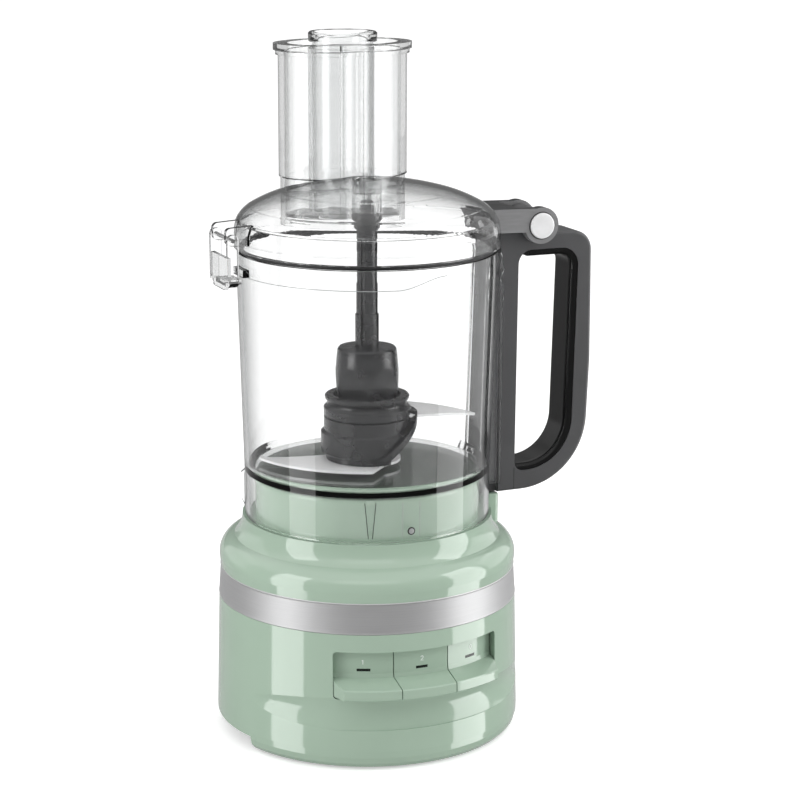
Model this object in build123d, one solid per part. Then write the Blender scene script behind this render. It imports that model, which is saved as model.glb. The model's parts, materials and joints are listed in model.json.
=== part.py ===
"""Food processor: motor base, lift-off bowl, S-blade on a stem, hinged lid with feed tube and pushers.

Millimetres. Origin on the spindle axis at table level, +Z up, buttons face -Y, handle on +X, latch on -X.
"""
from build123d import *
from math import cos, radians, sin
import os

# ---- base ----
FOOT_H = 4.0              # rubber feet, table to bottom cover
HOUSING_Z0 = 2.0          # lower edge of the housing wall
TOE_R = 95.0              # housing radius just above the table
WALL_TOP_R = 93.2         # housing radius under the trim band
CAVITY_R = 91.0           # inside of the housing wall
BAND_Z0, BAND_Z1 = 85.8, 105.1
BAND_R0, BAND_R1 = 93.1, 92.0
BAND_SEAT_R = 91.3        # housing radius behind the band
SPLIT_Z = 95.0            # lower and upper housing meet behind the band
NECK_R, NECK_Z = 78.0, 137.0
PEDESTAL_R, PEDESTAL_Z = 70.0, 163.5
TOWER_X, TOWER_Y, TOWER_Z = 86.0, 12.0, 141.9
# ---- buttons ----
PANEL_HALF_X = 53.2       # half width of the button window
PANEL_Z0, PANEL_Z1 = 45.2, 75.0
PANEL_CORNER_R = 2.5
BEZEL_R = 84.0            # the window's pocket reaches in to here
BUTTON_SPLIT_X = 17.7     # gaps between neighbours, left and right of the middle
BUTTON_GAP = 0.3          # half the gap between neighbours
BUTTON_INSET = 0.45       # gap between the row and its window
BUTTON_R = 88.0           # face of the buttons, set back in the window
LIP_R = 102.0             # how far the finger lip stands out
LIP_Z0, LIP_Z1 = 47.3, 54.0
LIP_END = [(-77.9, 52.75), (-104.0, 46.4)]      # slanted lip ends in plan: y, half width
LENS_W, LENS_H, LENS_Z = 7.6, 1.7, 62.4
BUTTON_MID_X = (-34.9, 0.0, 34.9)
PLUNGER_TIP_Y = (-73.4, -80.6, -73.4)           # back end of each button's plunger
PLUNGER_Z, PLUNGER_R = 55.0, 2.2
SWITCH_TRAVEL = 1.2       # free gap between plunger and switch
CARRIER_R = 69.0          # front of the switch carrier
# ---- motor ----
SHAFT_R = 5.0
RUN = 0.05                # radial clearance of a shaft in its bearing
BEARING_R = 11.0
STATOR_R, STATOR_BORE = 52.0, 28.3
STATOR_Z0, STATOR_Z1 = 27.0, 72.0
HEX_AF = 12.0             # drive dog on top of the shaft, across flats
DOG_Z0, DOG_Z1 = 206.0, 226.5
# ---- bowl ----
BOWL_Z0, BOWL_Z1 = 137.6, 302.6
SKIRT_R, RIM_R = 76.4, 79.8
WALL_T = 2.6
FLOOR_Z = 165.0           # underside of the bowl floor
FLOOR_T = 2.4
CHIMNEY_R, CHIMNEY_BORE, CHIMNEY_Z = 10.5, 8.0, 204.0
CATCH_R = 83.5            # latch catch on the bowl rim
# ---- handle ----
HANDLE_HALF = 13.5
POST_X = 95.4             # finger side of the handle post
POST_CHEEK_X, POST_CORE_Y = 84.2, 9.5           # the post is narrower next to the bowl
GRIP_T, GRIP_HALF, GRIP_ROUND_R = 4.6, 12.9, 3.9
HINGE_X, HINGE_Z = 108.8, 313.2
KNUCKLE_R = 9.3
PIN_R = 3.0
ROD_X, ROD_R = 82.7, 1.8  # interlock rod inside the handle post
# ---- lid ----
LID_Z0, LID_R = 305.6, 81.8
DOME_Z = 345.9            # height of the dome's apex
DOME_ARCS = [(188.9, 0, 16), (90.0, 16, 30), (19.08, 30, 90)]    # radius, from, to (degrees off vertical)
LID_T = 2.6
TUBE_C = 40.0             # feed tube centre on +Y
TUBE_A, TUBE_B = 41.0, 30.0
NOTCH_R = 15.0            # hollow in the tube's front, round the axis boss
NOTCH_CORNER_R = 7.0
TUBE_Z0, COLLAR_Z, TUBE_Z1 = 316.0, 343.5, 420.6
TUBE_T = 2.2
BOSS_R, BOSS_BORE, BOSS_Z = 9.0, 6.6, 325.6
SLEEVE_R = 19.4           # hole for the small pusher
YOKE_SCREW_Y, YOKE_SCREW_Z = (-9.0, 9.0), 315.5
LATCH_X, LATCH_Z = -92.0, 315.5
LATCH_X0, LATCH_X1 = -95.5, -88.5
LATCH_HALF, LATCH_CHEEK_Y = 17.0, 14.2
LUG_Y = 10.0              # inner side of the lid's latch lugs
# ---- blade ----
HUB_R, HUB_Z0, HUB_Z1 = 28.7, 175.7, 211.8
SEAT_R, SEAT_Z = 21.0, 209.8                    # recess that takes the stem's foot
HUB_BORE = 11.2
RAMP_DEG, RAMP_TILT, RAMP_Z = 18.0, 33.0, 180.2  # uphill bearing, slope, height on the axis
RAMP_R, RAMP_T = 31.3, 4.2
HEAD_SIDES, HEAD_FIRST_DEG, HEAD_LEAN = 5, -73.5, 11.0
BLADE_T = 1.6
LOWER_BLADE_Z, UPPER_BLADE_Z = 170.0, 197.4
BLADE_TIP = (67.5, 2.0)
LOWER_BLADE_DEG = 158.0

BOTTOM = (Align.CENTER, Align.CENTER, Align.MIN)


def cyl(r, z0, z1, x=0.0, y=0.0):
    """Upright cylinder between two heights."""
    return Pos(x, y, z0) * Cylinder(r, z1 - z0, align=BOTTOM)


def ring(r_out, r_in, z0, z1, x=0.0, y=0.0):
    """Upright tube between two heights."""
    return cyl(r_out, z0, z1, x, y) - cyl(r_in, z0 - 1, z1 + 1, x, y)


def block(x0, x1, y0, y1, z0, z1):
    """Box between two corners."""
    size = (x1 - x0, y1 - y0, z1 - z0)
    return Pos((x0 + x1) / 2, (y0 + y1) / 2, (z0 + z1) / 2) * Box(*size)


def lathe(points, arc=360.0):
    """Solid of revolution about Z from a closed (radius, height) outline."""
    outline = Polyline(*[(r, 0, z) for r, z in points], close=True)
    return revolve(make_face(outline), Axis.Z, arc)


def lathe_curve(*edges):
    """Solid of revolution about Z from joined edges in the XZ plane."""
    return revolve(make_face(Curve() + list(edges)), Axis.Z)


def sector(r0, r1, z0, z1, half_deg, mid_deg=-90.0):
    """Ring sector centred on the given bearing."""
    piece = lathe([(r0, z0), (r1, z0), (r1, z1), (r0, z1)], 2 * half_deg)
    return Rot(0, 0, mid_deg - half_deg) * piece


def around(piece, count, start_deg=0.0):
    """Copies of one piece, evenly spaced about the spindle axis."""
    return [Rot(0, 0, start_deg + 360.0 * i / count) * piece for i in range(count)]


def group(pieces):
    """Several separate solids kept as one node."""
    return Compound(children=list(pieces))


def rounded(corners):
    """Closed XZ outline from (x, z, corner radius), as a face."""
    face = make_face(Polyline(*[(x, 0, z) for x, z, _ in corners], close=True))
    for x, z, radius in corners:
        if radius:
            near = face.vertices().sort_by_distance((x, 0, z))[0]
            face = fillet(near, radius)
    return face


def slab(face, y0, y1):
    """Extrude an XZ face between two Y positions."""
    solid = extrude(face, amount=y1 - y0, dir=(0, 1, 0))
    return Pos(0, y0, 0) * solid


# ------------------------------------------------------------------ base
def toe_corner(radius):
    """Rolled lower edge of the housing, as short cones."""
    return [(radius - 3.4, HOUSING_Z0), (radius - 1.2, 4.6), (radius - 0.2, 8.5), (radius, 12.5)]


def wall_outer():
    """Outer body of the lower housing: tapering wall, proud toe at the front, scoop under the lip."""
    body = lathe([(0, HOUSING_Z0)] + toe_corner(TOE_R)
                 + [(94.6, 28), (WALL_TOP_R, BAND_Z0), (BAND_SEAT_R, BAND_Z0), (BAND_SEAT_R, SPLIT_Z),
                    (0, SPLIT_Z)])
    toe = Pos(0, -2.8, 0) * lathe([(60, HOUSING_Z0)] + toe_corner(94.4) + [(94.4, 34), (60, 34)])
    toe -= Pos(0, -97, 24.6) * Rot(5.2, 0, 0) * block(-120, 120, -40, 220, 0, 60)
    ledge = toe.faces().sort_by(Axis.Z)[-1].edges().sort_by(SortBy.LENGTH)[-1]
    body += fillet(ledge, 1.8)
    scoop = lathe_curve(Line((98.6, 0, 26), (112, 0, 26)), Line((112, 0, 26), (112, 0, 46)),
                        Line((112, 0, 46), (98.3, 0, 46)),
                        ThreePointArc((98.3, 0, 46), (96.3, 0, 34.5), (98.6, 0, 26)))
    return body - Pos(0, 5.0, 0) * scoop


def window(inset):
    """Rounded button window as a tool along Y, less a margin all round."""
    half = PANEL_HALF_X - inset
    tool = block(-half, half, -112, -58, PANEL_Z0 + inset, PANEL_Z1 - inset)
    return fillet(tool.edges().filter_by(Axis.Y), PANEL_CORNER_R - inset)


def bezel():
    """Pocket walls round the button window, inside the housing."""
    half = PANEL_HALF_X + 2.4
    frame = ring(CAVITY_R + 0.6, BEZEL_R, PANEL_Z0 - 2.4, PANEL_Z1 + 2.4)
    return frame & block(-half, half, -100, -40, 0, SPLIT_Z)


def lower_housing():
    """Green wall of the base with the panel window, foot notches and screw bosses."""
    cavity = cyl(CAVITY_R, 0, SPLIT_Z + 1) & (Pos(0, 5.5, 0) * cyl(94.0, 0, SPLIT_Z + 1))
    cavity -= ring(100, 88.6, BAND_Z0 - 4, SPLIT_Z + 2)
    body = wall_outer() - cavity + bezel() - window(0)
    for side in (-90 - 92, -90 + 92):
        body -= sector(80, 110, 0, 10, 21, side)
    boss = cyl(4.5, 9.2, 22, 80) + block(82, CAVITY_R + 0.6, -1.5, 1.5, 9.2, 22)
    for one in around(boss - cyl(1.6, 0, 20, 80), 4, 45):
        body += one
    body -= Pos(0, CAVITY_R, 24) * Rot(90, 0, 0) * Cylinder(6.2, 30)
    return body


def shoulder_outer():
    """Upper housing outline: shoulder, crease, concave neck and pedestal."""
    return [Line((0, 0, SPLIT_Z), (BAND_SEAT_R, 0, SPLIT_Z)),
            Line((BAND_SEAT_R, 0, SPLIT_Z), (BAND_SEAT_R, 0, BAND_Z1)),
            Line((BAND_SEAT_R, 0, BAND_Z1), (BAND_R1, 0, BAND_Z1)),
            Line((BAND_R1, 0, BAND_Z1), (92.7, 0, 111)),
            ThreePointArc((92.7, 0, 111), (90.4, 0, 118.9), (83, 0, 124)),
            ThreePointArc((83, 0, 124), (79.4, 0, 129.5), (NECK_R, 0, NECK_Z)),
            Line((NECK_R, 0, NECK_Z), (PEDESTAL_R, 0, NECK_Z)),
            Line((PEDESTAL_R, 0, NECK_Z), (PEDESTAL_R, 0, PEDESTAL_Z - 3)),
            ThreePointArc((PEDESTAL_R, 0, PEDESTAL_Z - 3), (PEDESTAL_R - 0.88, 0, PEDESTAL_Z - 0.88),
                          (PEDESTAL_R - 3, 0, PEDESTAL_Z)),
            Line((PEDESTAL_R - 3, 0, PEDESTAL_Z), (0, 0, PEDESTAL_Z)),
            Line((0, 0, PEDESTAL_Z), (0, 0, SPLIT_Z))]


def upper_housing():
    """Green shoulder and pedestal with the interlock tower and the motor's hanging posts."""
    body = lathe_curve(*shoulder_outer())
    tower = block(60, TOWER_X, -TOWER_Y, TOWER_Y, 112, TOWER_Z)
    tower = fillet(tower.edges().filter_by(Axis.Z), 3)
    tower = fillet(tower.faces().sort_by(Axis.Z)[-1].edges(), 1.5)
    body += tower - cyl(77.3, NECK_Z, TOWER_Z + 1)
    body -= lathe([(0, SPLIT_Z - 1), (88.6, SPLIT_Z - 1), (89.4, 111), (86.5, 117), (80, 121.5),
                   (75, 129), (66.8, 134), (66.8, PEDESTAL_Z - 3), (0, PEDESTAL_Z - 3)])
    for post in around(cyl(5, 94, PEDESTAL_Z - 1, 49), 4):
        body += post
    body += ring(13, 9, 152, PEDESTAL_Z)
    body -= cyl(9, 140, PEDESTAL_Z + 1)
    return body - cyl(ROD_R + 0.4, 100, TOWER_Z + 1, ROD_X)


def trim_band():
    """Satin metal band round the waist, with thin rolled lips."""
    return lathe([(BAND_SEAT_R, BAND_Z0), (BAND_R0, BAND_Z0), (BAND_R0 + 0.3, BAND_Z0 + 0.5),
                  (BAND_R0 + 0.1, BAND_Z0 + 1.3), (BAND_R1 + 0.1, BAND_Z1 - 1.3),
                  (BAND_R1 + 0.3, BAND_Z1 - 0.5), (BAND_R1, BAND_Z1), (BAND_SEAT_R, BAND_Z1)])


def bottom_cover():
    """Dark floor plate with an upturned rim, fan slots and screw holes."""
    plate = cyl(86, FOOT_H, FOOT_H + 2.5) + ring(86, 83.5, FOOT_H + 2.4, 14)
    plate -= around_cut(cyl(6.2, 8, 30, 80), 4, 45)
    for i in range(-4, 5):
        plate -= block(i * 8 - 1.5, i * 8 + 1.5, -26, 26, 0, 12)
    return plate - around_cut(cyl(1.8, 0, 30, 80), 4, 45)


def around_cut(tool, count, start_deg=0.0):
    """One tool made of evenly spaced copies."""
    copies = around(tool, count, start_deg)
    result = copies[0]
    for one in copies[1:]:
        result += one
    return result


def foot():
    """Rubber foot with a rounded tread."""
    tread = cyl(8.5, 0, FOOT_H, 68)
    return fillet(tread.edges().group_by(Axis.Z)[0], 1.2)


def pan_screw(x, z_head, z_tip, up=1):
    """Pan-head screw: head at z_head, shank towards z_tip."""
    head = cyl(3.2, min(z_head, z_head - 2 * up), max(z_head, z_head - 2 * up), x)
    shank = cyl(1.5, min(z_head, z_tip), max(z_head, z_tip), x)
    return head + shank


def cord_gland():
    """Strain-relief bushing for the supply cord, in the back wall."""
    sleeve = Rot(-90, 0, 0) * (cyl(6.0, 84, 101) + cyl(8.5, 95.4, 98) - cyl(3.6, 80, 110))
    return Pos(0, 0, 24) * sleeve


# ------------------------------------------------------------------ buttons
def button_row():
    """All three buttons in one: face set back in the window, crease, finger lip with slanted ends."""
    profile = lathe([(BEZEL_R + 1, PANEL_Z1), (BUTTON_R - 0.4, PANEL_Z1), (BUTTON_R, 73.8),
                     (BUTTON_R + 0.1, 60), (BUTTON_R + 0.8, 57.6), (LIP_R - 0.6, LIP_Z1),
                     (LIP_R, LIP_Z1 - 0.7), (LIP_R, LIP_Z0 + 0.9), (LIP_R - 0.8, LIP_Z0),
                     (BUTTON_R + 2, 46.6), (BEZEL_R + 1, 46.6), (BEZEL_R + 0.4, 50),
                     (BEZEL_R + 0.4, 72), (BEZEL_R + 1, 73)])
    (y_start, half_start), (y_end, half_end) = LIP_END
    plan = make_face(Polyline((-half_start, -50), (-half_start, y_start), (-half_end, y_end),
                              (half_end, y_end), (half_start, y_start), (half_start, -50), close=True))
    return profile & prism(plan, 40, 80) & window(BUTTON_INSET)


def lens_slot(i, margin):
    """Small lens block at a button's middle, a margin larger all round."""
    half_w, half_h, x = LENS_W / 2 + margin, LENS_H / 2 + margin, BUTTON_MID_X[i]
    body = block(x - half_w, x + half_w, -95, -70, LENS_Z - half_h, LENS_Z + half_h)
    return body - cyl(BUTTON_R - 2.8, 40, 80)


def along_y(radius, x, y0, y1, z):
    """Cylinder along Y."""
    return Pos(x, (y0 + y1) / 2, z) * Rot(90, 0, 0) * Cylinder(radius, abs(y1 - y0))


def button(i):
    """One button cap of the row, with its lens pocket and switch plunger."""
    limits = (-60.0, -BUTTON_SPLIT_X, BUTTON_SPLIT_X, 60.0)
    body = button_row() & block(limits[i] + BUTTON_GAP, limits[i + 1] - BUTTON_GAP, -112, -50, 40, 80)
    body -= lens_slot(i, 0.0)
    plunger = along_y(PLUNGER_R, BUTTON_MID_X[i], -90, PLUNGER_TIP_Y[i], PLUNGER_Z)
    return body + (plunger & cyl(BUTTON_R - 1, 40, 80))


def button_lens(i):
    """Indicator window set into a button."""
    return lens_slot(i, -0.04) & cyl(BUTTON_R + 0.15, 50, 75)


def switch_bracket():
    """Curved carrier behind the buttons, on two legs from the wall's floor edge."""
    body = sector(CARRIER_R - 3, CARRIER_R, 44, 76, 36)
    for side in (-1, 1):
        body += Rot(0, 0, -90 + side * 33) * block(64, CARRIER_R, -4, 4, 6.6, 46)
    return body


def push_switch(i):
    """Push switch behind a button, seated on the curved carrier."""
    x, tip = BUTTON_MID_X[i], PLUNGER_TIP_Y[i] + SWITCH_TRAVEL
    body = block(x - 6, x + 6, tip + 1.6, -50, 50, 62) - cyl(CARRIER_R, 40, 80)
    return body + along_y(1.8, x, tip, tip + 2.0, PLUNGER_Z)


def control_board():
    """Control board standing behind the switch carrier, with its relay and capacitor."""
    board = block(-29, 29, -55, -53.4, 28, 82)
    board += block(-24, -8, -59, -54, 60, 76)
    return board + Pos(14, -57.5, 40) * Cylinder(3, 16)


# ------------------------------------------------------------------ motor
def stator_core():
    """Laminated stator with bolt holes and wide slots."""
    core = ring(STATOR_R, STATOR_BORE, STATOR_Z0, STATOR_Z1)
    core -= around_cut(cyl(2.15, 0, 100, 48), 4, 45)
    return core - around_cut(cyl(4.2, 0, 100, 35.5), 12, 15)


def stator_windings():
    """Copper end turns above and below the core, tied by the slot bars."""
    coil = ring(43, 31, STATOR_Z1 + 0.1, STATOR_Z1 + 5.6) + ring(43, 31, STATOR_Z0 - 4.6, STATOR_Z0 - 0.1)
    bars = around_cut(cyl(4.0, STATOR_Z0 - 1, STATOR_Z1 + 1, 35.5), 12, 15)
    return coil + bars


def motor_bracket(z_ring, z_hub, up):
    """Spider that carries one shaft bearing and clamps the stator."""
    low, high = (z_ring, z_ring + 10) if up > 0 else (z_ring - 10, z_ring)
    body = ring(STATOR_R, 45.5, low, high)
    arm_low = high - 4 if up > 0 else low
    for arm in around(block(13, 47, -5, 5, arm_low, arm_low + 4), 4):
        body += arm
    body += ring(15, BEARING_R, z_hub, z_hub + 10)
    body -= cyl(BEARING_R, z_hub - 1, z_hub + 11)
    return body - around_cut(cyl(2.15, 0, 100, 48), 4, 45)


def bearing(z0):
    """Ball bearing as one ring, a running fit on the shaft."""
    body = ring(BEARING_R, SHAFT_R + RUN, z0, z0 + 8)
    groove = ring(9.2, 7.2, z0 + 7.2, z0 + 9)
    return body - groove - ring(9.2, 7.2, z0 - 1, z0 + 0.8)


def motor_bolt():
    """Through bolt with its nut, holding both spiders to the stator."""
    return cyl(2.0, 14, 85, 48) + cyl(3.6, 14.4, 17, 48) + cyl(3.6, 82, 84.4, 48)


def motor_shaft():
    """One long shaft from the lower bearing to the drive dog."""
    hexagon = Plane.XY.offset(DOG_Z0) * RegularPolygon(HEX_AF / 2, 6, major_radius=False)
    dog = extrude(hexagon, DOG_Z1 - DOG_Z0)
    return cyl(SHAFT_R, 12, DOG_Z0 + 1) + chamfer(dog.faces().sort_by(Axis.Z)[-1].edges(), 1.0)


def rotor():
    """Squirrel-cage rotor core with end rings."""
    body = ring(27.6, SHAFT_R, STATOR_Z0, STATOR_Z1)
    body += ring(26, 18, STATOR_Z0 - 3, STATOR_Z1 + 3)
    return body - cyl(SHAFT_R, 0, 100)


def cooling_fan():
    """Radial fan above the motor."""
    body = ring(9, SHAFT_R, 94, 108) + ring(40, 8, 94, 95.6)
    for blade in around(block(8, 39, -0.8, 0.8, 95, 106), 11):
        body += blade
    return body - cyl(SHAFT_R, 90, 110)


# ------------------------------------------------------------------ bowl
def bowl_envelope(gap):
    """Solid body of the bowl's outside, grown by a gap."""
    return lathe([(0, BOWL_Z0 - 5), (SKIRT_R + gap, BOWL_Z0 - 5), (SKIRT_R + gap, FLOOR_Z),
                  (RIM_R + gap, 288), (RIM_R + gap, BOWL_Z1 + 12), (0, BOWL_Z1 + 12)])


def bowl():
    """Clear bowl: skirt, floor, centre chimney, tapered ribs, side ribs by the handle and the latch catch."""
    low, high = SKIRT_R - WALL_T, RIM_R - WALL_T
    body = lathe([(low, BOWL_Z0), (SKIRT_R, BOWL_Z0), (SKIRT_R, FLOOR_Z), (RIM_R, 288), (RIM_R, BOWL_Z1),
                  (high, BOWL_Z1), (high, 288), (low, FLOOR_Z + FLOOR_T + 4), (low - 4, FLOOR_Z + FLOOR_T),
                  (CHIMNEY_R + 1.5, FLOOR_Z + FLOOR_T), (CHIMNEY_R, FLOOR_Z + FLOOR_T + 2),
                  (CHIMNEY_R - 0.4, CHIMNEY_Z), (CHIMNEY_BORE, CHIMNEY_Z), (CHIMNEY_BORE, FLOOR_Z),
                  (low, FLOOR_Z)])
    rib = slab(rounded([(SKIRT_R - 1, FLOOR_Z, 0), (SKIRT_R - 1, 142, 0), (SKIRT_R + 0.5, 142, 0),
                        (SKIRT_R + 2.2, 146, 0), (SKIRT_R + 2.2, FLOOR_Z - 3, 0)]), -2.4, 2.4)
    for angle in (-110.5, -200.5, -290.5):
        body += Rot(0, 0, angle) * rib
    for side in (-1, 1):
        body += slab(handle_rib(), side * 18.6 - 1.1, side * 18.6 + 1.1) - bowl_envelope(-1.2)
        body += slab(handle_rib(), side * 11.8 - 1.4, side * 11.8 + 1.4) - bowl_envelope(-1.2)
    return body + (block(-CATCH_R, -70, -9, 9, 291.5, 296) - bowl_envelope(-1.2))


def handle_rib():
    """Side face of a clear rib that carries the handle: straight below, wavy under the rim."""
    return rounded([(60, 150, 0), (82.6, 150, 0), (83.0, 268, 3), (84.0, 274, 2), (81.4, 281, 2),
                    (83.9, 288, 2), (81.6, 298, 0), (60, 298, 0)])


def opening_outline(inset):
    """Finger opening of the handle, shrunk by an inset, as (x, z, corner radius)."""
    return [(POST_X, 155.6 + inset, 6), (134.8 - inset, 155.6 + inset, 32 - inset),
            (138.2 - inset, 297.3 - inset, 11.5 - inset), (POST_X + 1, 297.3 - inset, 9)]


def handle_frame():
    """D-shaped handle: post against the bowl, grip bow, knuckle for the lid hinge."""
    outer = rounded([(72, 142.8, 0), (144.6, 143.4, 46), (147.9, 225, 120), (147.2, 307, 12.5),
                     (131, 307.5, 0), (72, 308.6, 0)])
    frame = slab(outer, -HANDLE_HALF, HANDLE_HALF)
    frame += Pos(HINGE_X, 0, HINGE_Z) * Rot(90, 0, 0) * Cylinder(KNUCKLE_R, 2 * HANDLE_HALF)
    frame -= slab(rounded(opening_outline(0)), -HANDLE_HALF - 1, HANDLE_HALF + 1)
    for side in (-1, 1):
        frame -= block(60, POST_CHEEK_X, *sorted((side * POST_CORE_Y, side * 20)), 140, 320)
    frame -= bowl_envelope(0.2) + cyl(LID_R + 0.5, LID_Z0 - 0.4, 340)
    frame -= Pos(HINGE_X, 0, HINGE_Z) * Rot(90, 0, 0) * Cylinder(PIN_R + RUN, 80)
    rim = frame.edges().filter_by(lambda e: abs(abs(e.center().Y) - HANDLE_HALF) < 0.01)
    frame = fillet(rim.filter_by(lambda e: e.center().X > 139), 2.0)
    return frame - cyl(ROD_R + 0.25, 130, 330, ROD_X)


def handle_grip():
    """Soft lining inside the grip bow, rounded towards the fingers."""
    lining = slab(rounded(opening_outline(0)), -GRIP_HALF, GRIP_HALF)
    inner = rounded([(60, 155.6 + GRIP_T, 0)] + opening_outline(GRIP_T)[1:3] + [(60, 297.3 - GRIP_T, 0)])
    lining -= slab(inner, -20, 20)
    lining -= block(80, 104, -20, 20, 280, 310)
    rim = inner.faces()[0].outer_wire()
    soft = [e for e in lining.edges() if abs(abs(e.center().Y) - GRIP_HALF) < 0.01
            and rim.distance_to(Vertex(e.center().X, 0, e.center().Z)) < 0.01]
    return fillet(soft, GRIP_ROUND_R)


def interlock_rod():
    """Rod in the handle post that carries the lid's closing down to the base."""
    return cyl(ROD_R, TOWER_Z - 2.3, LID_Z0 - 0.3, ROD_X)


def interlock_plunger():
    """Short pin in the tower, between the rod and the safety switch."""
    return cyl(ROD_R, 112.9, TOWER_Z - 2.6, ROD_X)


# ------------------------------------------------------------------ lid
def dome_solid(inset):
    """Solid body of the lid's dome, shrunk by an inset: three tangent arcs and a short upright wall."""
    r, z = 0.0, DOME_Z - inset
    edges = []
    for radius, start, end in DOME_ARCS:
        size = radius - inset
        points = []
        for angle in (start, (start + end) / 2, end):
            points.append((r + size * (sin(radians(angle)) - sin(radians(start))), 0,
                           z - size * (cos(radians(start)) - cos(radians(angle)))))
        edges.append(ThreePointArc(*points))
        r, z = points[-1][0], points[-1][2]
    low = LID_Z0 - inset
    edges.append(Polyline((r, 0, z), (r, 0, low), (0, 0, low), (0, 0, DOME_Z - inset)))
    return lathe_curve(*edges)


def kidney(amount):
    """Feed tube outline in plan, grown or shrunk."""
    side_r = 24.0
    side_x = TUBE_A - side_r
    drop = (side_x ** 2 - (TUBE_B - side_r) ** 2) / (2 * (TUBE_B - side_r))
    long_r = TUBE_B + drop
    touch_x = side_x * long_r / (long_r - side_r)
    face = Pos(0, TUBE_C - drop) * Circle(long_r + amount)
    face = face & (Pos(0, TUBE_C + drop) * Circle(long_r + amount))
    face = face & (Pos(0, TUBE_C) * Rectangle(2 * (touch_x + amount * side_x / (long_r - side_r)), 150))
    for side in (-1, 1):
        face += Pos(side * side_x, TUBE_C) * Circle(side_r + amount)
    face -= Circle(NOTCH_R - amount)
    corners = face.vertices().filter_by(lambda v: abs(v.X) < 19 and v.Y < 22)
    return fillet(corners, NOTCH_CORNER_R + amount)


def prism(face, z0, z1):
    """Extrude a plan face between two heights."""
    return Pos(0, 0, z0) * extrude(face, z1 - z0)


def lid():
    """Clear lid: dome, feed tube with its collar, axis boss, latch lugs."""
    body = dome_solid(0) - dome_solid(LID_T)
    body += prism(kidney(-1.0), TUBE_Z0, COLLAR_Z + 0.6)
    body += prism(kidney(0), COLLAR_Z, TUBE_Z1)
    body += prism(kidney(1.6), TUBE_Z1 - 2.4, TUBE_Z1)
    body += cyl(BOSS_R, BOSS_Z, 344.4)
    body -= prism(kidney(-1.0 - TUBE_T), TUBE_Z0 - 1, TUBE_Z1 + 1)
    body -= cyl(BOSS_BORE, BOSS_Z - 1, 336)
    lug = rounded([(LATCH_X - 3.2, LATCH_Z - 3.2, 3), (-78, LATCH_Z - 4.5, 0), (-74, 323.6, 0),
                   (LATCH_X - 3.2, 322.4, 3)])
    for y in (-LUG_Y - 3.8, LUG_Y):
        body += slab(lug, y, y + 3.8) - dome_solid(1.2)
    ledge = lathe([(76.2, 319.8), (79.4, 319.8), (79.4, 321.2), (76.2, 321.2)]) & dome_solid(1.0)
    body += ledge - block(50, 90, -18.6, 18.6, 300, 330)
    body -= ring(LID_R + 1, LID_R - 0.5, 310.5, 311.2)
    body -= yoke_screw_holes()
    return body - Pos(LATCH_X, 0, LATCH_Z) * Rot(90, 0, 0) * Cylinder(1.25, 60)


def lid_gasket():
    """Dark sealing ring between the bowl rim and the lid."""
    return ring(78.6, 75.6, BOWL_Z1 + 0.4, LID_Z0 - 0.8) + ring(79.7, 76.5, LID_Z0 - 1.4, LID_Z0 - 0.05)


def hinge_yoke():
    """Fork from the lid to the hinge pin, straddling the handle's knuckle."""
    side = rounded([(76.5, 310.0, 0), (HINGE_X, 309.4, 0), (HINGE_X, 323.9, 0), (76.5, 324.8, 0)])
    boss = Pos(HINGE_X, 0, HINGE_Z) * Rot(90, 0, 0) * Cylinder(11.4, 40)
    body = slab(side, -20, 20) + boss
    body -= block(94.6, 130, -13.9, 13.9, 290, 330)
    body -= dome_solid(-0.1) + yoke_screw_holes()
    return body - Pos(HINGE_X, 0, HINGE_Z) * Rot(90, 0, 0) * Cylinder(PIN_R, 80)


def yoke_plate():
    """Backing plate of the fork, inside the lid wall."""
    plate = block(50, 82, -18, 18, 310.6, 322.5) & dome_solid(LID_T + 0.1)
    return plate - dome_solid(LID_T + 3.2) - yoke_screw_holes()


def yoke_screw(y, shank, x_head, x_plate):
    """Screw along +X through the lid wall, with a flat head inside the lid."""
    return Pos(0, y, YOKE_SCREW_Z) * Rot(0, 90, 0) * (cyl(shank, x_plate, 90) + cyl(3.0, x_head, x_plate))


def yoke_screws():
    """Two screws that clamp plate, lid wall and fork together."""
    return group([yoke_screw(y, 1.6, 72.0, 73.8) for y in YOKE_SCREW_Y])


def yoke_screw_holes():
    """Clearance for both screws and their heads."""
    return yoke_screw(YOKE_SCREW_Y[0], 1.65, 60.0, 73.85) + yoke_screw(YOKE_SCREW_Y[1], 1.65, 60.0, 73.85)


def hinge_pin():
    """Steel pin through the fork and the handle's knuckle."""
    return Pos(HINGE_X, 0, HINGE_Z) * Rot(90, 0, 0) * Cylinder(PIN_R, 40)


def pin_cap(side):
    """Polished cap over one end of the hinge pin."""
    cap = Cylinder(8.0, 1.6)
    cap = fillet(cap.edges().sort_by(Axis.Z)[-1], 0.7)
    return Pos(HINGE_X, side * 20.8, HINGE_Z) * Rot(-90 * side, 0, 0) * cap


def latch():
    """Clear clip: outer plate, two cheeks, hook below the bowl's catch."""
    side = rounded([(LATCH_X0, 285.2, 0), (-91.6, 285.2, 0), (LATCH_X1, 289.5, 0), (LATCH_X1, 319.0, 3.4),
                    (LATCH_X0, 319.0, 3.4)])
    body = slab(side, -LATCH_HALF, LATCH_HALF)
    body -= block(LATCH_X0 + 2.6, -80, -LATCH_CHEEK_Y, LATCH_CHEEK_Y, 280, 330)
    body -= block(-110, -80, -LATCH_CHEEK_Y, LATCH_CHEEK_Y, 305, 330)
    body += block(LATCH_X0 + 2.0, -CATCH_R - 0.5, -8, 8, 287.6, 290.6)
    for turn in (-1, 1):
        body -= Pos(LATCH_X, turn * LATCH_HALF, 283) * Rot(turn * -34, 0, 0) * Box(20, 14, 8)
    return body - Pos(LATCH_X, 0, LATCH_Z) * Rot(90, 0, 0) * Cylinder(1.2 + RUN, 60)


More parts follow.
